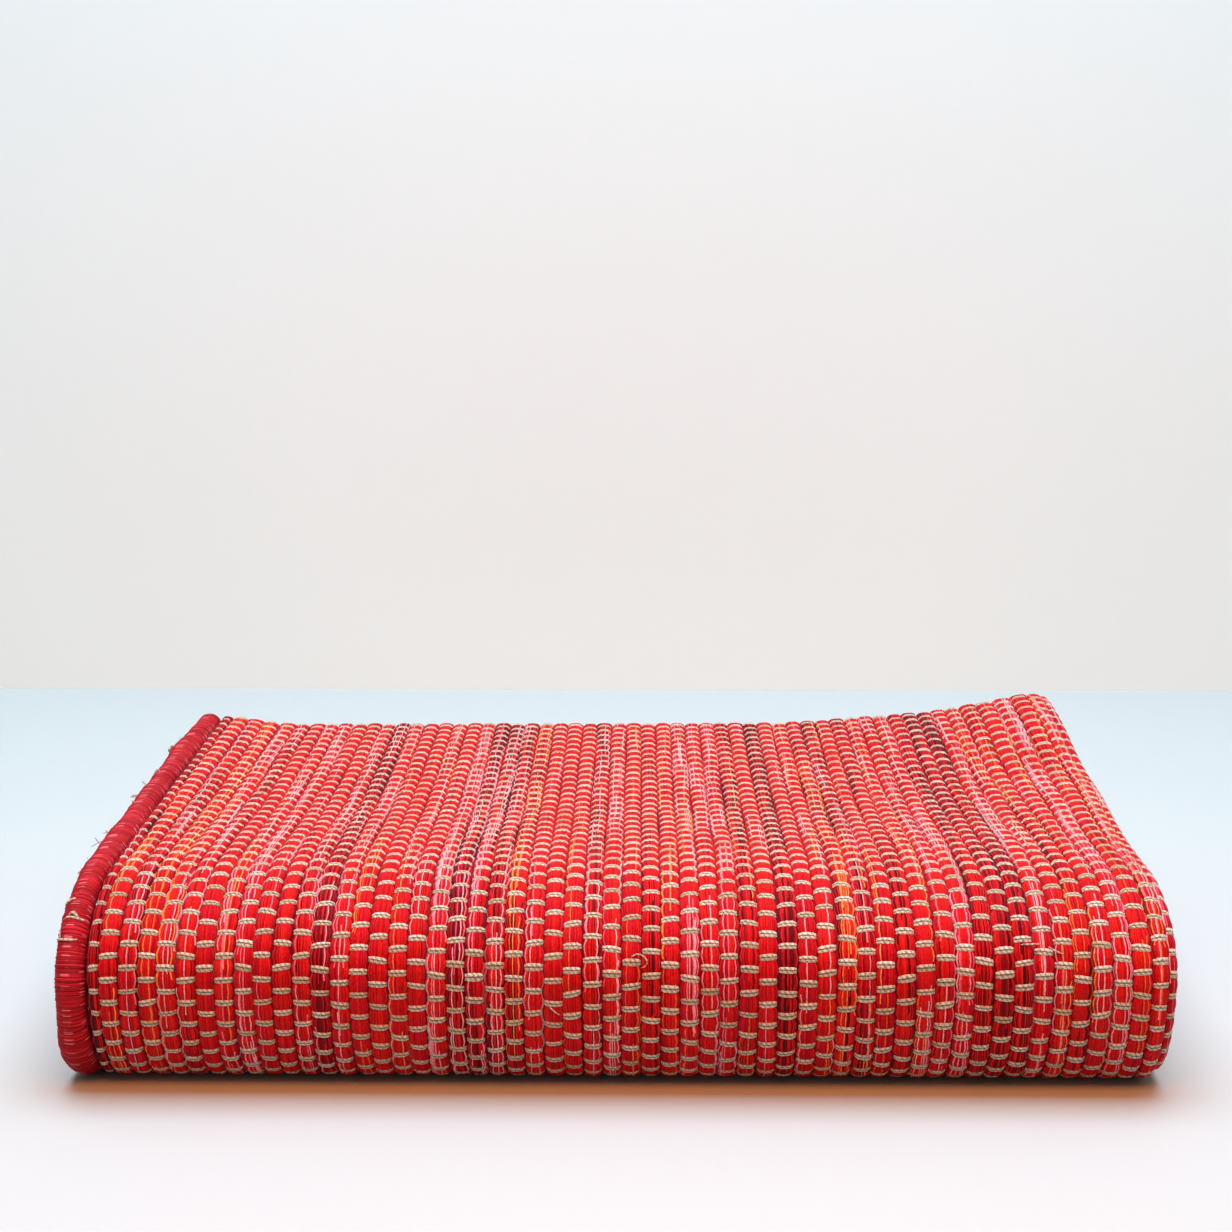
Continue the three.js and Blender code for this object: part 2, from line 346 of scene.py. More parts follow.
def cord_lift(cord, across, run, phase):
    """Lift of the cord's face; across goes from -0.5 to 0.5 over one cord."""
    from_bar = np.abs(phase - np.round(phase)) * BAR_SPACING
    pinch = np.exp(-((from_bar / PINCH_WIDTH) ** 2))
    squareness = CORD_SQUARENESS - PINCH_ROUNDING * pinch
    round_share = np.sqrt(np.clip(1 - np.abs(2 * across) ** squareness, 0, 1))
    fat = (1 + waves(run, FAT_WAVES, cord)) / (1 + FATNESS)
    low = np.where(cord == 0, FIRST_CORD_LIFT, 1.0)
    return GROOVE_LIFT + (CREST_LIFT - GROOVE_LIFT) * round_share * (1 - PINCH * pinch) * fat * low


# %% [markdown]
# A woven face is one grid
#
# One grid covers many cords: a few columns for each cord and a few rows for each bar spacing. The grid
# operator makes the faces, and the functions above move its vertices. At a selvedge the rows go on round
# the edge of the cloth, so each cord ends in a rounded loop. The grid keeps two records for the
# materials: a UV map that counts cords and metres, and the mix of thread colours of each cord.

# %% Grid helper and woven patch
FINE_ACROSS = [-0.5, -0.43, -0.26, 0.0, 0.26, 0.43]
PLAIN_ACROSS = [-0.5, -0.32, 0.0, 0.32]
V_START = 1.0
PATCH_TOTALS = {}


def to_mesh(shape, mesh):
    """Write a shape into a mesh, which may be given by a new name, and free the shape."""
    mesh = bpy.data.meshes.new(mesh) if isinstance(mesh, str) else mesh
    shape.to_mesh(mesh)
    shape.free()
    return mesh


def put(name, data):
    """A new object in the scene."""
    made = bpy.data.objects.new(name, data)
    bpy.context.scene.collection.objects.link(made)
    return made


def coordinates(mesh):
    flat = np.empty(len(mesh.vertices) * 3)
    mesh.vertices.foreach_get("co", flat)
    return flat.reshape(-1, 3)


def grid_mesh(name, columns, rows):
    """A grid of faces. Returns its mesh, and the column and row number of each vertex."""
    shape = bmesh.new()
    bmesh.ops.create_grid(shape, x_segments=columns - 1, y_segments=rows - 1, size=0.5)
    mesh = to_mesh(shape, name)
    share = coordinates(mesh) + 0.5
    column = np.rint(share[:, 0] * (columns - 1)).astype(int)
    row = np.rint(share[:, 1] * (rows - 1)).astype(int)
    return mesh, column, row


def show(mesh, material):
    """Put a finished mesh in the scene as a piece."""
    piece = put(mesh.name, mesh)
    mesh.materials.append(material)
    mesh.shade_smooth()
    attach(piece, "root")
    triangles = sum(len(face.vertices) - 2 for face in mesh.polygons)
    PATCH_TOTALS[mesh.name] = triangles
    print(mesh.name, "has", triangles, "triangles")
    return piece


def write_uv(mesh, u, v):
    """Lay the UV map of the weave from a value for each vertex."""
    corner = np.empty(len(mesh.loops), dtype=np.int32)
    mesh.loops.foreach_get("vertex_index", corner)
    layer = mesh.uv_layers.new(name="weave")
    layer.data.foreach_set("uv", np.stack([u[corner], v[corner]], axis=-1).ravel())


def turn_over(mesh):
    """Turn the faces of a grid so that they look the other way."""
    shape = bmesh.new()
    shape.from_mesh(mesh)
    bmesh.ops.reverse_faces(shape, faces=shape.faces)
    to_mesh(shape, mesh)


def edge_rows(run_from, run_to, count, upper_edge=None, lower_edge=None, wraps=5, under=()):
    """Rows of a patch as pairs of run and turn, the angle that the row has gone round a selvedge."""
    rows = [(run, 0.0) for run in np.linspace(run_from, run_to, count)]
    turns = np.linspace(0, math.pi, wraps + 2)[1:]
    if upper_edge is not None:
        rows += [(upper_edge, turn) for turn in turns] + [(upper_edge - back, math.pi) for back in under]
    if lower_edge is not None:
        before = [(lower_edge, -turn) for turn in turns] + [(lower_edge + back, -math.pi) for back in under]
        rows = before[::-1] + rows
    return rows


def woven_patch(name, first, last, rows, across, face=1):
    """Cords first to last of the rug, over the given rows, on the upper (1) or lower (-1) face."""
    columns = [(cord, share) for cord in range(first, last + 1) for share in across] + [(last, 0.5)]
    cord = np.array([column[0] for column in columns], dtype=float)
    share = np.array([column[1] for column in columns])
    mesh, column, row = grid_mesh(name, len(columns), len(rows))
    run = np.array([item[0] for item in rows])[row]
    turn = np.array([item[1] for item in rows])[row]
    cord, share = cord[column], share[column]
    over = np.where(np.abs(turn) > math.pi / 2, -face, face)
    phase = bar_phase(cord, run, over)
    lift = cord_lift(cord, share, run, phase)
    squeezed = share * (1 - 2 * SQUEEZE * np.cos(2 * math.pi * phase))
    sway = cord_sway(np.where(np.abs(share) == 0.5, cord + 0.5 + share, cord + 0.5), run)
    length = np.clip(cord_place(cord + 0.5 + squeezed) + sway, 0, RUG_LENGTH)
    points = carry(length, face * lift * np.cos(turn), run + lift * np.sin(turn))
    mesh.vertices.foreach_set("co", points.ravel())
    write_uv(mesh, cord + 0.5 + share, run + turn * CREST_LIFT + V_START)
    return mesh


# %% [markdown]
# Colours and nodes
#
# Colours are written as the sRGB hex values that the eye reads off dyed yarn and are turned to linear
# light by one function. One helper adds a shader node with its settings and links; each material gets it
# tied to its own tree. All three materials end alike, with marks painted over the colour, most of them
# painted shade, and a fine relief.


# %% Colour and node helpers
SHEEN_ROUGHNESS = 0.35


def linear(hex_colour):
    """An sRGB hex colour as linear red, green, blue and full alpha."""
    parts = [int(hex_colour[i : i + 2], 16) / 255 for i in (1, 3, 5)]
    return tuple(p / 12.92 if p <= 0.04045 else ((p + 0.055) / 1.055) ** 2.4 for p in parts) + (1.0,)


def add_node(tree, kind, sockets=None, output=0, **settings):
    """Add a node; sockets maps an input to a value or to another node's output. Returns one output."""
    made = tree.nodes.new("ShaderNode" + kind)
    for name, value in settings.items():
        setattr(made, name, value)
    for key, value in (sockets or {}).items():
        if isinstance(value, bpy.types.NodeSocket):
            tree.links.new(value, made.inputs[key])
        else:
            made.inputs[key].default_value = value
    return made.outputs[output]


def new_material(name, roughness, specular, sheen=0.0, sheen_tint="#FFFFFF"):
    """A cloth shader with even values on its own sockets. Returns it, its adder and the two UV values."""
    material = bpy.data.materials.new(name)
    material.use_nodes = True
    shader = material.node_tree.nodes["Principled BSDF"]
    shader.inputs["Roughness"].default_value = roughness
    shader.inputs["Specular IOR Level"].default_value = specular
    shader.inputs["Sheen Weight"].default_value = sheen
    shader.inputs["Sheen Roughness"].default_value = SHEEN_ROUGHNESS
    shader.inputs["Sheen Tint"].default_value = linear(sheen_tint)
    add = partial(add_node, material.node_tree)
    uv = add("UVMap", uv_map="weave")
    return material, add, add("SeparateXYZ", {0: uv}, 0), add("SeparateXYZ", {0: uv}, 1)


def off_centre(add, place):
    """Distance from the middle of a repeat of one unit: 0 in the middle and 1 at both ends."""
    inside = add("Math", {0: place}, operation="FRACT")
    off_middle = add("Math", {0: inside, 1: 2.0, 2: -1.0}, operation="MULTIPLY_ADD")
    return add("Math", {0: off_middle}, operation="ABSOLUTE")


def finish_material(material, add, colour, marks, height, strength, depth):
    """Paint marks over the colour, each by a share that follows what it goes by, and add the relief."""
    for mark in marks:
        limits = dict(enumerate(mark["range"] + mark["share"], 1))
        share = add("MapRange", {0: mark["by"], **limits})
        colour = add("Mix", {0: share, 6: colour, 7: linear(mark["colour"])}, 2, data_type="RGBA")
    bump = add("Bump", {"Strength": strength, "Distance": depth, "Height": height})
    shader = material.node_tree.nodes["Principled BSDF"]
    material.node_tree.links.new(colour, shader.inputs["Base Color"])
    material.node_tree.links.new(bump, shader.inputs["Normal"])
    return material


# %% [markdown]
# Weft cord: bundled viscose and cotton thread, piece-dyed
#
# A cord shows 18 threads side by side, each 0.6 mm wide, which run along the cord. Real ones are about
# half as wide and are drawn coarser here, so that they still show. Most are vermilion or crimson; a few are
# plum, pink or orange. A thread stays on top for some centimetres and then sinks in, so the streaks break
# off. The hollows of its twist are painted as short flecks of shade, and painted shade darkens the edges of
# each thread and the grooves between the cords. The eye sees a soft, slightly silky rope of many reds. The
# mix of each cord comes from the piece's own record, and the rest is drawn from the UV map: U counts cords,
# V is metres along the cord.

# %% Weft cord material
THREADS = 18
STREAK = 55 * MM
STREAK_STARTS = 5.0
OFFSET_SEED = 3.1
TWIST_MARK = 1.6 * MM
TWIST_RELIEF = 0.8
WANDER = 0.12
WANDERS_PER_METRE = 22.0
CRIMSON_SHARE = 0.45
DULL_AND_BRIGHT = {
    "vermilion": ("#C40A08", "#F0241A"),
    "crimson": ("#9C0410", "#DC1226"),
    "plum": ("#24040C", "#86101A"),
    "pink": ("#F0506C", "#FFBCC0"),
    "orange": ("#F05A18", "#FFA052"),
}


def weft_material():
    material, add, u, v = new_material(
        "dyed_thread_weft_cord", roughness=0.6, specular=0.06, sheen=0.06, sheen_tint="#FFA0B4"
    )
    cord = add("Math", {0: u}, operation="FLOOR")
    inside = add("Math", {0: u}, operation="FRACT")

    slow_v = add("Math", {0: v, 1: WANDERS_PER_METRE}, operation="MULTIPLY")
    wander_place = add("CombineXYZ", {0: cord, 1: slow_v})
    wander = add("TexNoise", {"Vector": wander_place, "Scale": 1.0, "Detail": 1.0})
    shifted = add("Math", {0: wander, 1: WANDER, 2: inside}, operation="MULTIPLY_ADD")
    thread_place = add("Math", {0: shifted, 1: float(THREADS)}, operation="MULTIPLY")
    thread = add("Math", {0: thread_place}, operation="FLOOR")

    own_place = add("CombineXYZ", {0: thread, 1: cord, 2: OFFSET_SEED})
    offset = add("TexWhiteNoise", {"Vector": own_place})
    own_start = add("Math", {0: offset, 1: STREAK_STARTS}, operation="MULTIPLY")
    streak_place = add("Math", {0: v, 1: 1 / STREAK, 2: own_start}, operation="MULTIPLY_ADD")
    streak = add("Math", {0: streak_place}, operation="FLOOR")
    pick_place = add("CombineXYZ", {0: thread, 1: cord, 2: streak})
    picks = add("TexWhiteNoise", {"Vector": pick_place}, 1)
    pick, tone, red_pick = [add("SeparateColor", {0: picks}, channel) for channel in range(3)]

    red, crimson, *accents = [
        add("Mix", {0: tone, 6: linear(dull), 7: linear(bright)}, 2, data_type="RGBA")
        for dull, bright in DULL_AND_BRIGHT.values()
    ]
    is_crimson = add("Math", {0: red_pick, 1: CRIMSON_SHARE}, operation="LESS_THAN")
    colour = add("Mix", {0: is_crimson, 6: red, 7: crimson}, 2, data_type="RGBA")
    record = add("Attribute", attribute_name="cord_mix")
    below = 0.0
    for channel, accent in enumerate(accents):
        share = add("SeparateColor", {0: record}, channel)
        limit = add("Math", {0: share, 1: below}, operation="ADD")
        under_limit = add("Math", {0: pick, 1: limit}, operation="LESS_THAN")
        over_last = add("Math", {0: pick, 1: below}, operation="GREATER_THAN")
        chosen = add("Math", {0: under_limit, 1: over_last}, operation="MULTIPLY")
        colour = add("Mix", {0: chosen, 6: colour, 7: accent}, 2, data_type="RGBA")
        below = limit

    fine_v = add("Math", {0: v, 1: 1 / TWIST_MARK}, operation="MULTIPLY")
    own_lane = add("Math", {0: thread_place, 1: offset}, operation="ADD")
    twist_place = add("CombineXYZ", {0: own_lane, 1: cord, 2: fine_v})
    twist = add("TexNoise", {"Vector": twist_place, "Scale": 1.0, "Detail": 2.0})
    off_thread = off_centre(add, thread_place)
    between = add("Math", {0: off_thread, 1: 2.0}, operation="POWER")
    marks = [
        # painted shade: short dark flecks in the hollows of the twist
        {"by": twist, "range": (0.36, 0.56), "share": (0.45, 0.0), "colour": "#7A0206"},
        # painted shade: the edges of each thread darken where they turn down between threads
        {"by": between, "range": (0.45, 1.0), "share": (0.0, 0.5), "colour": "#4A0306"},
        # painted shade: a dark band along the groove between two cords
        {"by": off_centre(add, u), "range": (0.84, 1.0), "share": (0.0, 0.85), "colour": "#380304"},
    ]
    rounded = add("Math", {0: 1.0, 1: between}, operation="SUBTRACT")
    height = add("Math", {0: twist, 1: TWIST_RELIEF, 2: rounded}, operation="MULTIPLY_ADD")
    return finish_material(material, add, colour, marks, height, strength=0.6, depth=0.35 * MM)


WEFT = weft_material()

# %% [markdown]
# Warp bar: natural jute, two-ply
#
# Jute is a dull straw-coloured bast fibre, and this one is pale, nearly bleached. Each bar is two strands
# side by side, each twisted from two plies, with loose fibres that break up the twist, so the eye sees a
# dry, hairy little rope. The lines between the plies and the gap between the two strands are painted
# shade. U runs across the pair of strands and V along them, in metres.

# %% Jute material
PLY_STEP = 2.7 * MM
FIBRE_MARK = 1.2 * MM
FIBRES_ACROSS = 2.5
FIBRE_RELIEF = 0.6
PLY_WANDER = 2.6
PLY_LEAN = 1.6


def jute_material():
    material, add, across, v = new_material("natural_jute_strand", roughness=0.75, specular=0.2, sheen=0.6)
    record = add("Attribute", None, 2, attribute_name="strand_tone")
    colour = add("Mix", {0: record, 6: linear("#BFAA84"), 7: linear("#E8DDC4")}, 2, data_type="RGBA")

    fibre_v = add("Math", {0: v, 1: 1 / FIBRE_MARK}, operation="MULTIPLY")
    fibre_across = add("Math", {0: across, 1: FIBRES_ACROSS}, operation="MULTIPLY")
    fibre_place = add("CombineXYZ", {0: fibre_across, 1: fibre_v})
    fibre = add("TexNoise", {"Vector": fibre_place, "Scale": 1.0, "Detail": 2.0})
    lean = add("Math", {0: fibre, 1: PLY_WANDER, 2: across}, operation="MULTIPLY_ADD")
    lean = add("Math", {0: lean, 1: PLY_LEAN}, operation="MULTIPLY")
    ply_place = add("Math", {0: v, 1: math.pi / PLY_STEP, 2: lean}, operation="MULTIPLY_ADD")
    ply = add("Math", {0: ply_place}, operation="SINE")
    ply = add("Math", {0: ply}, operation="ABSOLUTE")
    off_middle = add("Math", {0: across}, operation="ABSOLUTE")
    marks = [
        # painted shade: dark lines between the plies
        {"by": ply, "range": (0.0, 0.55), "share": (0.85, 0.0), "colour": "#6A4A2A"},
        {"by": fibre, "range": (0.5, 0.7), "share": (0.0, 0.6), "colour": "#8A6A44"},
        # painted shade: the dark gap between the two strands
        {"by": off_middle, "range": (0.05, 0.34), "share": (0.85, 0.0), "colour": "#3C2414"},
    ]
    height = add("Math", {0: fibre, 1: FIBRE_RELIEF, 2: ply}, operation="MULTIPLY_ADD")
    return finish_material(material, add, colour, marks, height, strength=1.0, depth=0.45 * MM)


JUTE = jute_material()

# %% [markdown]
# Binding: crimson viscose yarn, whipped
#
# The whipping yarn is silky, so it takes a soft gloss. Its turns lie side by side, and each turn shows
# several fine filaments, some much paler where they catch the light. The edges of the filaments and the
# grooves between the turns are darkened with painted shade. U counts the turns and V goes round the roll.

# %% Binding material
FILAMENTS = 4
FILAMENT_DRIFT = 0.9
DRIFTS_PER_METRE = 60.0
DRIFTS_PER_TURN = 0.35
GLINTS_PER_METRE = 110.0
TONE_SEED = 1.7


def binding_material():
    material, add, u, v = new_material("crimson_whipping_yarn", roughness=0.55, specular=0.13)
    drift_v = add("Math", {0: v, 1: DRIFTS_PER_METRE}, operation="MULTIPLY")
    drift_u = add("Math", {0: u, 1: DRIFTS_PER_TURN}, operation="MULTIPLY")
    drift_place = add("CombineXYZ", {0: drift_u, 1: drift_v})
    drift = add("TexNoise", {"Vector": drift_place, "Scale": 1.0, "Detail": 1.0})
    leaning = add("Math", {0: drift, 1: FILAMENT_DRIFT, 2: u}, operation="MULTIPLY_ADD")
    filament_place = add("Math", {0: leaning, 1: float(FILAMENTS)}, operation="MULTIPLY")
    filament = add("Math", {0: filament_place}, operation="FLOOR")
    tone = add("TexWhiteNoise", {"Vector": add("CombineXYZ", {0: filament, 1: TONE_SEED})})
    tone = add("Math", {0: tone, 1: 2.0}, operation="POWER")
    colour = add("Mix", {0: tone, 6: linear("#9E0412"), 7: linear("#E61E2C")}, 2, data_type="RGBA")

    glint_v = add("Math", {0: v, 1: GLINTS_PER_METRE}, operation="MULTIPLY")
    glint_place = add("CombineXYZ", {0: filament, 1: glint_v})
    glint = add("TexNoise", {"Vector": glint_place, "Scale": 1.0, "Detail": 0.0})
    off_filament = off_centre(add, filament_place)
    between = add("Math", {0: off_filament, 1: 2.0}, operation="POWER")
    marks = [
        {"by": glint, "range": (0.62, 0.7), "share": (0.0, 0.75), "colour": "#F88088"},
        # painted shade: darker edges of each filament
        {"by": between, "range": (0.3, 1.0), "share": (0.0, 0.55), "colour": "#4E0206"},
        # painted shade: a dark groove between two turns
        {"by": off_centre(add, u), "range": (0.68, 1.0), "share": (0.0, 0.75), "colour": "#3C0206"},
    ]
    height = add("Math", {0: 1.0, 1: between}, operation="SUBTRACT")
    return finish_material(material, add, colour, marks, height, strength=0.8, depth=0.35 * MM)


YARN = binding_material()

# %% [markdown]
# Which cords are which colour
#
# The weaver changed the thread mix from cord to cord. The cords that stand out are charted here,
# counted from the bound end, as shares of plum, pink and orange threads; the rest of each cord is red.
# The cords that don't show get a small random share of each accent.

# %% Colour mix of each cord
CORD_CHART = {
    0: (0.5, 0.03, 0), 1: (0, 0, 0.15), 2: (0.08, 0.07, 0), 3: (0, 0, 0.15), 4: (0, 0.16, 0.09),
    5: (0.12, 0.07, 0), 6: (0, 0, 0), 7: (0, 0.1, 0.06), 8: (0, 0.23, 0), 9: (0, 0.05, 0),
    10: (0.05, 0, 0), 11: (0.12, 0.16, 0), 12: (0.5, 0.08, 0), 13: (0, 0.16, 0), 14: (0, 0, 0.06),
    15: (0, 0, 0), 16: (0, 0.07, 0.11), 17: (0.03, 0.04, 0), 18: (0, 0.26, 0), 19: (0.5, 0.13, 0),
    20: (0.3, 0.2, 0), 21: (0.25, 0.08, 0), 22: (0.15, 0, 0.18), 23: (0, 0.1, 0), 24: (0, 0, 0),
    25: (0, 0, 0.06), 26: (0.3, 0.1, 0), 27: (0, 0.1, 0), 28: (0, 0, 0.05), 29: (0.12, 0, 0),
    30: (0, 0, 0.07), 31: (0, 0.2, 0.05), 32: (0, 0.1, 0), 33: (0, 0.16, 0), 34: (0.25, 0, 0.09),
    35: (0, 0.04, 0), 36: (0.6, 0, 0), 37: (0, 0.04, 0), 38: (0, 0.08, 0.07), 39: (0.12, 0, 0.09),
    40: (0.25, 0.08, 0.06), 41: (0, 0, 0.05), 42: (0.2, 0, 0), 43: (0, 0.07, 0.12), 44: (0.12, 0.16, 0),
    45: (0, 0.16, 0), 46: (0.3, 0, 0), 47: (0.4, 0, 0), 48: (0.5, 0, 0), 49: (0, 0.16, 0),
    50: (0, 0.08, 0.09), 51: (0.1, 0, 0.06), 52: (0, 0.08, 0.09), 53: (0, 0.29, 0), 54: (0.1, 0, 0.07),
    55: (0, 0.1, 0.09), 56: (0, 0.2, 0), 57: (0, 0.16, 0.03),
}
CORD_COUNT = int((RUG_LENGTH - CORD_START + CROWD) / CORD) + 1
SHARES_AND_CHANCES = {
    "plum": ([0.0, 0.02, 0.06], [0.5, 0.35, 0.15]),
    "pink": ([0.03, 0.07, 0.16], [0.45, 0.4, 0.15]),
    "orange": ([0.01, 0.05, 0.12], [0.5, 0.35, 0.15]),
}
random_shares = [RANDOM.choice(a, CORD_COUNT, p=chances) for a, chances in SHARES_AND_CHANCES.values()]
cord_mix = np.stack(random_shares + [np.ones(CORD_COUNT)], axis=-1)
for cord_number, accent_shares in CORD_CHART.items():
    cord_mix[cord_number, :3] = accent_shares
print(CORD_COUNT, "cords along the rug")


def write_face_record(mesh, name, values, kind="FLOAT_COLOR"):
    """Keep a value or a colour for each face, for the materials to read."""
    record = mesh.attributes.new(name, kind, "FACE")
    part = "color" if kind == "FLOAT_COLOR" else "value"
    record.data.foreach_set(part, np.ascontiguousarray(values, dtype=np.float32).ravel())


def cords_piece(mesh, face=1):
    """Record each face's cord mix, turn the lower face over and show the patch."""
    face_u = np.empty(len(mesh.loops) * 2)
    mesh.uv_layers["weave"].data.foreach_get("uv", face_u)
    face_u = face_u.reshape(-1, 4, 2)[:, :, 0].mean(axis=1)
    write_face_record(mesh, "cord_mix", cord_mix[np.clip(face_u.astype(int), 0, CORD_COUNT - 1)])
    if face < 0:
        turn_over(mesh)
    return show(mesh, WEFT)


# %% [markdown]
# The outer face of the stack
#
# The outer layer is made as three woven faces: the top, the front, and the underside, which is hidden and
# has a third of the rows. Each goes from the binding round the right fold.

# %% Outer cords
ROWS_PER_BAR = 6
ROWS_PER_HIDDEN_BAR = 2
FRONT_FROM = -7 * BAR_SPACING
TOP_FROM = 6 * BAR_SPACING
UPPER_EDGE = UPPER_RUN - SELVEDGE
LOWER_EDGE = -(LOWER_RUN - SELVEDGE)
LAST_OUTER = int((LAYER_STARTS[1] + 0.5 * CORD - CORD_START) / CORD)
UNDER_STEPS = [3 * MM, 8 * MM, 14 * MM, 20 * MM]


def rows_between(run_from, run_to, rows_per_bar, **edges):
    """Rows at an even number per bar, which may go on round a selvedge."""
    count = round((run_to - run_from) / BAR_SPACING * rows_per_bar) + 1
    return edge_rows(run_from, run_to, count, under=UNDER_STEPS, **edges)


top_rows = rows_between(TOP_FROM, UPPER_EDGE, ROWS_PER_BAR, upper_edge=UPPER_EDGE)
front_rows = rows_between(FRONT_FROM, TOP_FROM, ROWS_PER_BAR)
low_rows = rows_between(LOWER_EDGE, FRONT_FROM, ROWS_PER_HIDDEN_BAR, lower_edge=LOWER_EDGE)
cords_piece(woven_patch("top_cords", 0, LAST_OUTER, top_rows, FINE_ACROSS))
cords_piece(woven_patch("front_cords", 0, LAST_OUTER, front_rows, FINE_ACROSS))
cords_piece(woven_patch("under_cords", 0, LAST_OUTER, low_rows, PLAIN_ACROSS))

# %% [markdown]
# The small folds at the sides
#
# The rug turns back on itself at the right twice and at the left once. The lower right fold and the left
# fold show from the side, so they are woven too, over the whole width of the rug.

# %% Side folds
FOLD_CORDS_EACH_WAY = 3
ROWS_PER_FOLD_BAR = 4


def fold_cords(layer):
    """First and last cord of the fold that ends a layer."""
    ends = ((LAYER_ENDS[layer], -1), (LAYER_STARTS[layer + 1], 1))
    return [int((length - CORD_START) / CORD) + way * FOLD_CORDS_EACH_WAY for length, way in ends]


right_fold = fold_cords(2)
left_fold = fold_cords(1)
both_edges = {"upper_edge": UPPER_EDGE, "lower_edge": LOWER_EDGE}
fold_rows = rows_between(LOWER_EDGE, UPPER_EDGE, ROWS_PER_FOLD_BAR, **both_edges)
cords_piece(woven_patch("right_fold_cords", *right_fold, fold_rows, PLAIN_ACROSS))
cords_piece(woven_patch("left_fold_cords", *left_fold, fold_rows, PLAIN_ACROSS, -1), -1)

# %% [markdown]
# The loose edges at the back
#
# Each layer's two selvedges show at the back, and below each edge the next layer comes out a little
# further. A strip on both faces and round the edge is enough: the rest lies between the layers.

# %% Edge strips of the inner layers
STRIP = 34 * MM
STRIP_UNDER = [4 * MM, 11 * MM, 20 * MM, STRIP]
STRIP_SHAPE = {"count": 6, "wraps": 4, "under": STRIP_UNDER}
BETWEEN_FOLDS = [
    (LAST_OUTER + 1, left_fold[0] - 1),
    (left_fold[1] + 1, right_fold[0] - 1),
    (right_fold[1] + 1, CORD_COUNT - 2),
]
upper_rows = edge_rows(UPPER_EDGE - STRIP, UPPER_EDGE, upper_edge=UPPER_EDGE, **STRIP_SHAPE)
lower_rows = edge_rows(LOWER_EDGE, LOWER_EDGE + STRIP, lower_edge=LOWER_EDGE, **STRIP_SHAPE)
for layer, (first, last) in zip((2, 3, 4), BETWEEN_FOLDS):
    cords_piece(woven_patch(f"upper_edge_of_layer_{layer}", first, last, upper_rows, PLAIN_ACROSS))
    cords_piece(woven_patch(f"lower_edge_of_layer_{layer}", first, last, lower_rows, PLAIN_ACROSS))

# %% [markdown]
# The cloth under the cords
#
# One closed thin sheet follows the whole rug through all its folds. It fills the cloth below the woven
# faces and stands for the rug's solid, so the stack has no holes between the woven parts. It is thin
# where detailed cords cover it and nearly as thick as the cloth elsewhere.

# %% The core sheet
DEEP_LIFT = 0.9 * MM
PLAIN_LIFT = 5.0 * MM
RIM = 1 * MM
WELD = 0.01 * MM
FINE_WELD = 0.005 * MM
STRIP_LAP = 4 * MM
STRIP_CLEAR = 6 * MM
FOLD_MARGIN = 6 * MM
FOLD_COVER = 42 * MM
OUTER_COVER = 20 * MM
COLUMNS_PER_LAYER = 22
COLUMNS_PER_FOLD = 9
CORE_ROWS = [
    {"from": LOWER_EDGE + RIM, "to": LOWER_EDGE + 50 * MM, "count": 6},
    {"from": LOWER_EDGE + 70 * MM, "to": -95 * MM, "count": 8},
    {"from": -85 * MM, "to": 120 * MM, "count": 22},
    {"from": 150 * MM, "to": UPPER_EDGE - 70 * MM, "count": 8},
    {"from": UPPER_EDGE - 50 * MM, "to": UPPER_EDGE - RIM, "count": 6},
]


def column_lengths():
    """Where the columns of the core lie along the rug, closer together in the folds."""
    lengths = [RIM]
    for i in range(LAYERS):
        ends = LAYER_STARTS[i] + FOLD_MARGIN, LAYER_ENDS[i] - FOLD_MARGIN
        lengths += list(np.linspace(*ends, COLUMNS_PER_LAYER))
        if i < LAYERS - 1:
            lengths += list(np.linspace(LAYER_ENDS[i], LAYER_STARTS[i + 1], COLUMNS_PER_FOLD))
    return np.array(lengths + [RUG_LENGTH - RIM])


def in_fold(length, layer):
    """Whether a place lies in the woven part of the fold that ends a layer."""
    return (length > LAYER_ENDS[layer] - FOLD_COVER) & (length < LAYER_STARTS[layer + 1] + FOLD_COVER)


def core_lift(length, run, face):
    """Half thickness of the core at a place; thin below detailed cords and at the edges."""
    outer = length < LAYER_STARTS[1] + OUTER_COVER
    covered = outer | in_fold(length, 2) if face > 0 else in_fold(length, 1)
    to_edge = np.minimum(UPPER_EDGE - run, run - LOWER_EDGE)
    strip_share = smooth(to_edge, STRIP - STRIP_LAP, STRIP + STRIP_CLEAR)
    return np.where(covered, DEEP_LIFT, mix(DEEP_LIFT, PLAIN_LIFT, strip_share))


core_lengths = column_lengths()
core_runs = np.concatenate([np.linspace(row["from"], row["to"], row["count"]) for row in CORE_ROWS])
core = bmesh.new()
for face in (1, -1):
    half, column, row = grid_mesh(f"core_half_{face}", len(core_lengths), len(core_runs))
    length, run = core_lengths[column], core_runs[row]
    rim = (column == 0) | (column == len(core_lengths) - 1) | (row == 0) | (row == len(core_runs) - 1)
    lift = np.where(rim, 0, face * core_lift(length, run, face))
    half.vertices.foreach_set("co", carry(length, lift, run).ravel())
    write_uv(half, (length - CORD_START) / CORD, run + V_START)
    if face < 0:
        turn_over(half)
    core.from_mesh(half)
    bpy.data.meshes.remove(half)
bmesh.ops.remove_doubles(core, verts=core.verts, dist=WELD)
woven_cloth = cords_piece(to_mesh(core, "woven_cloth"))
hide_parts("rug")

# %% [markdown]
# The warp bars
#
# On the face of the rug each warp shows as a short bar: two jute strands side by side that climb over one
# cord and dive between that cord and the next. One small closed shape is made from a sphere, and copies of
# it are laid over every cord with a little unevenness in tilt, length and tone, as hand weaving has.

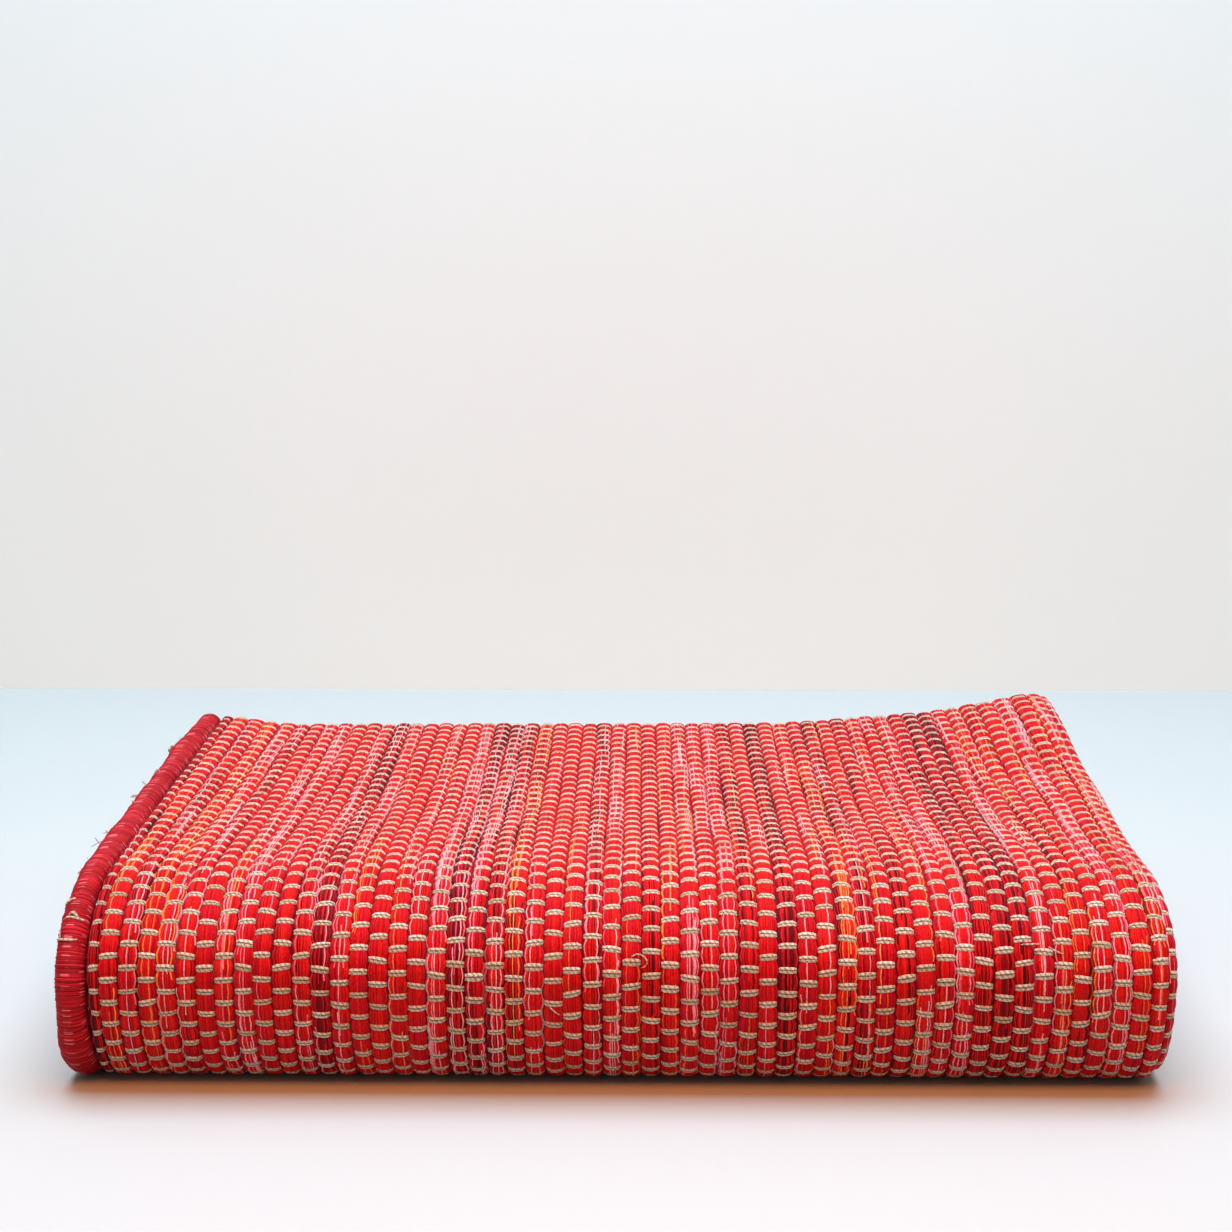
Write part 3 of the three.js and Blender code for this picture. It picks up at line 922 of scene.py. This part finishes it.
# %% Bar template and copies
STRAND = 1.7 * MM
BAR_HALF_LENGTH = 0.52
BAR_CREST = 5.15 * MM
BAR_DIP = 2.0 * MM
BAR_HEIGHT = 0.8 * MM
BAR_SQUARENESS = 3.0
END_BLUNTNESS = 0.35
LOBE = {"dip": 0.45, "width": 0.7}
UNEVEN = {"reach": 0.04, "size": 0.08, "tilt": 0.035}
TONE_SPREAD = (3, 2)
PLACES = 400
V_PER_CORD = 20 * MM


def bar_template(around, along):
    """A closed two-lobed bar: place across the cord, place along the cord, height, and strand side."""
    shape = bmesh.new()
    bmesh.ops.create_uvsphere(shape, u_segments=around, v_segments=along, radius=1)
    mesh = to_mesh(shape, "bar_template")
    points = coordinates(mesh)
    corners = [list(face.vertices) for face in mesh.polygons]
    ring = np.maximum(np.hypot(points[:, 0], points[:, 1]), 1e-6)
    girth = np.clip(ring, 0, 1) ** END_BLUNTNESS
    side = points[:, 0] / ring
    up = points[:, 1] / ring
    lobe = 1 - LOBE["dip"] * np.clip(1 - np.abs(side) / LOBE["width"], 0, 1)
    bpy.data.meshes.remove(mesh)
    return {
        "across": points[:, 2],
        "along": STRAND * side * girth,
        "up": BAR_HEIGHT * up * lobe * girth,
        "side": side,
        "corners": corners,
    }


def bar_places(first, last, run_from, run_to, face):
    """Cord number and run of every bar of some cords between two runs."""
    cords, runs = [], []
    table = np.linspace(run_from, run_to, PLACES)
    for cord in range(first, last + 1):
        phase = bar_phase(cord, table, face)
        numbers = np.arange(math.ceil(phase[0]), math.ceil(phase[-1]))
        cords += [cord] * len(numbers)
        runs += list(np.interp(numbers, phase, table))
    return np.array(cords, dtype=float)[:, None], np.array(runs)[:, None]


def bars_piece(name, first, last, run_from, run_to, face, template):
    """All bars of cords first to last between two runs, as one mesh."""
    cords, runs = bar_places(first, last, run_from, run_to, face)
    count = len(cords)
    reach = BAR_HALF_LENGTH * RANDOM.normal(1.0, UNEVEN["reach"], (count, 1))
    size = RANDOM.normal(1.0, UNEVEN["size"], (count, 1))
    tilt = RANDOM.normal(0.0, UNEVEN["tilt"], (count, 1))
    across = template["across"] * reach
    along = template["along"] * size + tilt * across * CORD * 2
    arch = np.sqrt(np.clip(1 - np.abs(2 * across) ** BAR_SQUARENESS, 0, 1))
    lowered = np.where(cords == 0, (1 - FIRST_CORD_LIFT) * (CREST_LIFT - GROOVE_LIFT), 0.0)
    lift = mix(BAR_DIP, BAR_CREST, arch) + template["up"] * size - lowered
    run = runs + along
    length = np.clip(cord_place(cords + 0.5 + across) + cord_sway(cords + 0.5, run), 0, RUG_LENGTH)
    points = carry(length.ravel(), (face * lift).ravel(), run.ravel())
    mesh = bpy.data.meshes.new(name)
    offsets = range(0, len(points), len(template["across"]))
    faces = [[i + at for i in corner] for at in offsets for corner in template["corners"]]
    mesh.from_pydata(points, [], faces)
    write_uv(mesh, np.tile(template["side"], count), (across * CORD + V_PER_CORD * cords).ravel())
    tone = np.repeat(RANDOM.beta(*TONE_SPREAD, count), len(template["corners"]))
    write_face_record(mesh, "strand_tone", tone, "FLOAT")
    mesh.update()
    if face > 0:
        turn_over(mesh)
    return show(mesh, JUTE)


FINE_BAR = bar_template(around=8, along=6)
PLAIN_BAR = bar_template(around=6, along=4)
bars_piece("top_bars", 0, LAST_OUTER, TOP_FROM, UPPER_EDGE + 1 * MM, 1, FINE_BAR)
bars_piece("front_bars", 0, LAST_OUTER, FRONT_FROM, TOP_FROM, 1, FINE_BAR)
bars_piece("under_bars", 0, LAST_OUTER, LOWER_EDGE, FRONT_FROM, 1, PLAIN_BAR)
bars_piece("right_fold_bars", *right_fold, LOWER_EDGE, UPPER_EDGE, 1, PLAIN_BAR)
bars_piece("left_fold_bars", *left_fold, LOWER_EDGE, UPPER_EDGE, -1, PLAIN_BAR)
STRIP_ENDS = [("top", UPPER_EDGE - STRIP, UPPER_EDGE), ("low", LOWER_EDGE, LOWER_EDGE + STRIP)]
for layer, (first, last) in zip((2, 3, 4), BETWEEN_FOLDS):
    for face, side in ((1, "upper"), (-1, "under")):
        for edge, low, high in STRIP_ENDS:
            bars_piece(f"layer_{layer}_{side}_bars_at_{edge}_edge", first, last, low, high, face, PLAIN_BAR)

# %% [markdown]
# The bindings
#
# Both ends of the rug are whipped: yarn is wound tightly round the turned-in warp ends until they form a
# roll. The turns lie side by side, about two millimetres each, and lean and crowd a little.

# %% Whipped rolls
TURN_WIDTH = 2.1 * MM
ROWS_PER_TURN = 4
ROLL_SIDES = 20
ROLL_RADIUS = 6.7 * MM
ROLL_WIDENING = 1.09
CAP_ROWS = 5
RIDGE = {"high": 0.5 * MM, "uneven": 0.16 * MM, "roundness": 0.6}
LEAN = {"far": 1.1 * MM, "length": 24 * MM, "start": 2.0}
SWELL_WAVES = [
    {"high": 0.2 * MM, "length": 10.8 * MM, "start": 0.0},
    {"high": 0.14 * MM, "length": 6.1 * MM, "start": 1.9},
    {"high": 0.12 * MM, "length": 27 * MM, "start": 0.4},
]
CROWD_WAVES = [{"high": 0.6 * MM, "length": 9.3 * MM, "start": 0.7}]
BULGES = [
    {"run": 333 * MM, "half_length": 17 * MM, "out": 3.0 * MM},
    {"run": 128 * MM, "half_length": 28 * MM, "out": 2.0 * MM},
    {"run": -48 * MM, "half_length": 42 * MM, "out": 3.5 * MM},
]


def closed_tube(name, sides, rows):
    """A grid rolled into a tube. Returns its mesh, the angle round the tube and the row of each vertex."""
    mesh, column, row = grid_mesh(name, sides + 1, rows)
    return mesh, 2 * math.pi * (column % sides) / sides, row


def close_tube(mesh, material):
    """Weld the seam and the pinched ends, turn the faces outwards and show the piece."""
    shape = bmesh.new()
    shape.from_mesh(mesh)
    bmesh.ops.remove_doubles(shape, verts=shape.verts, dist=FINE_WELD)
    bmesh.ops.recalc_face_normals(shape, faces=shape.faces)
    return show(to_mesh(shape, mesh), material)


def roll_point(around, lift, run, depth, slip):
    """A point of a roll: angle round it, lift off its mean surface and run from the front line."""
    radius = ROLL_RADIUS + lift
    near = [np.exp(-(((run - row["run"]) / row["half_length"]) ** 2)) for row in BULGES]
    bulge = sum(row["out"] * share for row, share in zip(BULGES, near))
    x = BINDING_RADIUS + ROLL_WIDENING * radius * np.cos(around) - bulge * (1 - np.cos(around)) / 2
    return place_in_stack(x, depth + radius * np.sin(around), slip, run)


def binding(name, depth, slip):
    """A whipped roll along one end of the rug: a tube with a ridge for each turn and two round caps."""
    turns = int((RUG_WIDTH - 2 * BINDING_RADIUS) / TURN_WIDTH)
    rows = turns * ROWS_PER_TURN + 1
    cap = np.linspace(math.pi / 2, 0, CAP_ROWS + 1)[:-1]
    run_rows = np.linspace(-LOWER_RUN + BINDING_RADIUS, UPPER_RUN - BINDING_RADIUS, rows)
    cap_run = BINDING_RADIUS * np.sin(cap)
    run_rows = np.concatenate([run_rows[0] - cap_run, run_rows, run_rows[-1] + cap_run[::-1]])
    shrink = np.concatenate([np.cos(cap), np.ones(rows), np.cos(cap)[::-1]])
    shrink[[0, -1]] = 0
    turn_count = (run_rows - run_rows[0]) / TURN_WIDTH
    mesh, angle, row = closed_tube(name, ROLL_SIDES, len(run_rows))
    run, turn = run_rows[row], turn_count[row]
    ridge = np.abs(np.sin(math.pi * turn)) ** RIDGE["roundness"]
    turn_bulge = RANDOM.normal(0, RIDGE["uneven"], int(turn_count[-1]) + 2)[turn.astype(int)]
    lift = waves(run, SWELL_WAVES) + (RIDGE["high"] + turn_bulge) * ridge
    lean = LEAN["far"] * np.cos(angle + LEAN["start"]) * np.sin(run / LEAN["length"])
    crowd = waves(run, CROWD_WAVES) + lean
    around_lift = (ROLL_RADIUS + lift) * shrink[row] - ROLL_RADIUS
    points = roll_point(angle, around_lift, run + crowd * shrink[row], depth, slip)
    mesh.vertices.foreach_set("co", points.ravel())
    write_uv(mesh, turn, angle * BINDING_RADIUS)
    return close_tube(mesh, YARN)


outer_roll = binding("outer_roll", BINDING_DEPTH, 0.0)
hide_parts("outer_binding")
inner_roll = binding("inner_roll", HALF_DEPTH - BINDING_DEPTH, 3.0)
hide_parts("inner_binding")

# %% [markdown]
# Stray ends
#
# Where the jute warp ends were turned in under the whipping, a few stubs and loops poke out between the
# turns, and some strand ends stand off the face. Each is a thin tube swept along a given path: a place
# on the binding is an angle round the roll (180 is the outer side and 270 the top), a lift and a run, and
# a place on the face is a cord number, a lift and a run. Fine crimson hairs of the whipping are made
# alike. Each row of a table holds the thickness of one strand in millimetres and its path.

# %% Stubs, loops and hairs
STRAY_SIDES = 6
STRAY_RINGS = 9
STRAY_TILT = (0.3, 0.2, 0.93)
STRAY_BLUNTNESS = 0.25
STRAY_TONES = (0.5, 0.9)
JUTE_ON_BINDING = [
    (1.5, [(183, -0.4, 43), (212, 0.8, 43), (238, 0.9, 44), (262, -0.4, 45)]),
    (1.4, [(222, -0.4, 32), (252, 0.8, 33), (290, 0.9, 32), (325, 0.1, 32)]),
    (1.7, [(250, 0.5, 33), (262, 1.6, 35), (276, 1.6, 34), (288, 0.4, 32)]),
    (1.5, [(172, -0.4, 22), (210, 0.9, 22), (258, 0.9, 21), (325, 0.1, 22)]),
    (0.9, [(226, 0.6, 22), (223, 1.3, 25), (218, 1.1, 28)]),
    (1.3, [(196, 0.0, 79), (186, 1.4, 78), (182, 2.6, 77)]),
    (1.2, [(215, 0.2, 203), (222, 1.1, 201), (231, 0.2, 199)]),
    (1.0, [(205, 0.0, 224), (196, 2.2, 224), (190, 4.8, 226)]),
    (0.9, [(207, 0.0, 221), (200, 2.0, 219), (197, 4.2, 217)]),
    (1.2, [(222, 0.0, 240), (216, 2.2, 243), (212, 4.2, 246)]),
    (1.0, [(232, 0.0, 258), (238, 1.9, 262), (246, 1.7, 266), (250, 0.0, 264)]),
    (1.7, [(192, 0.1, 338), (214, 1.1, 335), (236, 0.3, 331)]),
    (1.4, [(190, 0.2, 333), (206, 1.2, 331), (226, 0.2, 329)]),
    (0.6, [(216, 0.2, 354), (208, 2.2, 357), (203, 4.2, 361)]),
]
HAIRS_ON_BINDING = [
    (0.4, [(206, 0.0, 142), (197, 2.6, 148), (190, 4.0, 153)]),
    (0.35, [(206, 0.2, 147), (200, 1.8, 144), (203, 3.0, 140)]),
    (0.4, [(206, 0.0, 122), (196, 3.2, 130), (190, 6.0, 138)]),
    (0.35, [(201, 0.3, 130), (192, 2.4, 126), (187, 4.4, 121)]),
    (0.35, [(198, 0.2, 96), (190, 1.8, 99), (186, 2.8, 103)]),
]
JUTE_ON_FACE = [
    (0.8, [(24.2, 5.4, -8), (24.5, 7.4, -11), (24.9, 6.2, -14)]),
    (0.8, [(28.4, 5.6, 11), (28.9, 7.6, 14), (29.3, 7.4, 11), (28.9, 6.2, 8)]),
    (1.0, [(48.3, 5.6, 18), (48.8, 6.9, 18), (49.4, 7.9, 18)]),
    (0.9, [(50.5, 5.6, 14), (50.1, 7.0, 15), (49.7, 7.3, 17)]),
]


def swept_strand(path, thick):
    """A strand along a smooth line through a few points, drawn in to a blunt end at both ends."""
    knots = np.arange(len(path))
    share = np.linspace(0, knots[-1], STRAY_RINGS)
    curves = [np.polyfit(knots, axis, knots[-1]) for axis in path.T]
    line = np.stack([np.polyval(curve, share) for curve in curves], axis=1)
    along = np.gradient(line, axis=0)
    side = np.cross(along, STRAY_TILT)
    side /= np.linalg.norm(side, axis=1, keepdims=True)
    up = np.cross(side, along)
    up /= np.linalg.norm(up, axis=1, keepdims=True)
    taper = np.sin(math.pi * np.arange(STRAY_RINGS) / (STRAY_RINGS - 1)) ** STRAY_BLUNTNESS
    radius = thick / 2 * taper
    radius[[0, -1]] = 0
    mesh, angle, ring = closed_tube("strand", STRAY_SIDES, STRAY_RINGS)
    across = np.cos(angle)[:, None] * side[ring] + np.sin(angle)[:, None] * up[ring]
    points = line[ring] + radius[ring][:, None] * across
    mesh.vertices.foreach_set("co", points.ravel())
    step = np.linalg.norm(np.diff(line, axis=0), axis=1)
    write_uv(mesh, np.cos(angle), np.concatenate([[0], np.cumsum(step)])[ring])
    tone = np.full(len(mesh.polygons), RANDOM.uniform(*STRAY_TONES))
    write_face_record(mesh, "strand_tone", tone, "FLOAT")
    return mesh


def strays_piece(name, rows, place, material):
    """All strands of one table as one mesh; place turns the three columns of a path into a point."""
    shape = bmesh.new()
    for thick, path in rows:
        strand = swept_strand(place(*np.array(path, dtype=float).T), thick * MM)
        shape.from_mesh(strand)
        bpy.data.meshes.remove(strand)
    return close_tube(to_mesh(shape, name), material)


def binding_place(degrees, lift, run):
    return roll_point(np.radians(degrees), lift * MM, run * MM, BINDING_DEPTH, 0.0)


def face_place(cord, lift, run):
    return carry(cord_place(cord), lift * MM, run * MM)


strays_piece("jute_ends_on_binding", JUTE_ON_BINDING, binding_place, JUTE)
strays_piece("yarn_hairs_on_binding", HAIRS_ON_BINDING, binding_place, YARN)
strays_piece("jute_ends_on_face", JUTE_ON_FACE, face_place, JUTE)
print("triangles so far:", sum(PATCH_TOTALS.values()), "largest:", max(PATCH_TOTALS.values()))

# %% [markdown]
# The woven pieces
#
# All the woven pieces lie on the core sheet and belong to the same cloth, which would lie flat as a runner
# of 0.85 by 2.44 metres. They are gathered in one list, without the core sheet.

sheet_pieces = [piece for piece in bpy.data.objects if piece.name in PATCH_TOTALS]
sheet_pieces.remove(woven_cloth)

# %% [markdown]
# Floor, wall, light and camera
#
# The rug stands on a white table top before a pale wall. The light is broad, cool and soft and comes from
# above, and it is bright enough to wash the floor out nearly to white. A smaller warm light in front fills
# the shadow at the foot of the rug with an orange glow.

# %% Studio
FLOOR_COLOUR = "#B5B8B4"
WALL_COLOUR = "#F3F6EF"
PAINT_ROUGHNESS = 0.9
HALF_WIDTH = 6
FLOOR_FRONT = -5
WALL_HEIGHT = 5
NOSE_Y = ORIGIN[1]
WALL_Y = NOSE_Y + 95.6 * CORD
CAMERA_PLACE = (ORIGIN[0] + 29.8 * CORD, NOSE_Y - 98.7 * CORD, 44.4 * CORD)
CAMERA_DOWN = 10.8
CAMERA_LEFT = 0.67
CAMERA_LENS = 59.79
SENSOR_WIDTH = 36
LIGHTS = [
    {
        "name": "window_above", "place": (0, -0.02, 2.8), "aim": (0, 0.05, 0), "size": (2.5, 1.75),
        "watts": 156, "colour": "#CDE9FF", "spread": 180,
    },
    {
        "name": "warm_front", "place": (0.05, -0.95, 1.25), "aim": (0, -0.26, 0), "size": (1.4, 0.5),
        "watts": 8.5, "colour": "#FF9448", "spread": 120,
    },
]
ROOM_LIGHT = {"colour": "#FFF4E8", "strength": 0.21}


def plain_material(name, colour):
    material = bpy.data.materials.new(name)
    material.use_nodes = True
    paint = material.node_tree.nodes["Principled BSDF"]
    paint.inputs["Base Color"].default_value = linear(colour)
    paint.inputs["Roughness"].default_value = PAINT_ROUGHNESS
    return material


def studio_plane(name, near, far, colour):
    """A flat plane across the picture between two places, each given as y and z."""
    corners = [(-HALF_WIDTH, *near), (HALF_WIDTH, *near), (HALF_WIDTH, *far), (-HALF_WIDTH, *far)]
    shape = bmesh.new()
    shape.faces.new([shape.verts.new(corner) for corner in corners])
    mesh = to_mesh(shape, name)
    mesh.materials.append(plain_material(name + "_paint", colour))
    put(name, mesh)


def area_light(name, place, aim, size, watts, colour, spread):
    """A rectangular soft light that looks at a place; spread is the angle of its beam in degrees."""
    data = bpy.data.lights.new(name, "AREA")
    data.shape = "RECTANGLE"
    data.size, data.size_y = size
    data.energy = watts
    data.color = linear(colour)[:3]
    data.spread = math.radians(spread)
    lamp = put(name, data)
    lamp.location = place
    lamp.rotation_euler = (Vector(aim) - Vector(place)).to_track_quat("-Z", "Y").to_euler()


studio_plane("floor", (FLOOR_FRONT, 0), (WALL_Y, 0), FLOOR_COLOUR)
studio_plane("wall", (WALL_Y, 0), (WALL_Y, WALL_HEIGHT), WALL_COLOUR)
for light in LIGHTS:
    area_light(**light)

camera_data = bpy.data.cameras.new("camera")
camera_data.lens = CAMERA_LENS
camera_data.sensor_width = SENSOR_WIDTH
camera = put("camera", camera_data)
camera.location = CAMERA_PLACE
camera.rotation_euler = (math.radians(90 - CAMERA_DOWN), 0, math.radians(CAMERA_LEFT))
bpy.context.scene.camera = camera

world = bpy.data.worlds.new("room")
world.use_nodes = True
world.node_tree.nodes["Background"].inputs["Color"].default_value = linear(ROOM_LIGHT["colour"])
world.node_tree.nodes["Background"].inputs["Strength"].default_value = ROOM_LIGHT["strength"]
bpy.context.scene.world = world
bpy.context.scene.view_settings.view_transform = "Standard"
print("camera at", [round(value, 3) for value in CAMERA_PLACE], "and", len(LIGHTS), "lights")
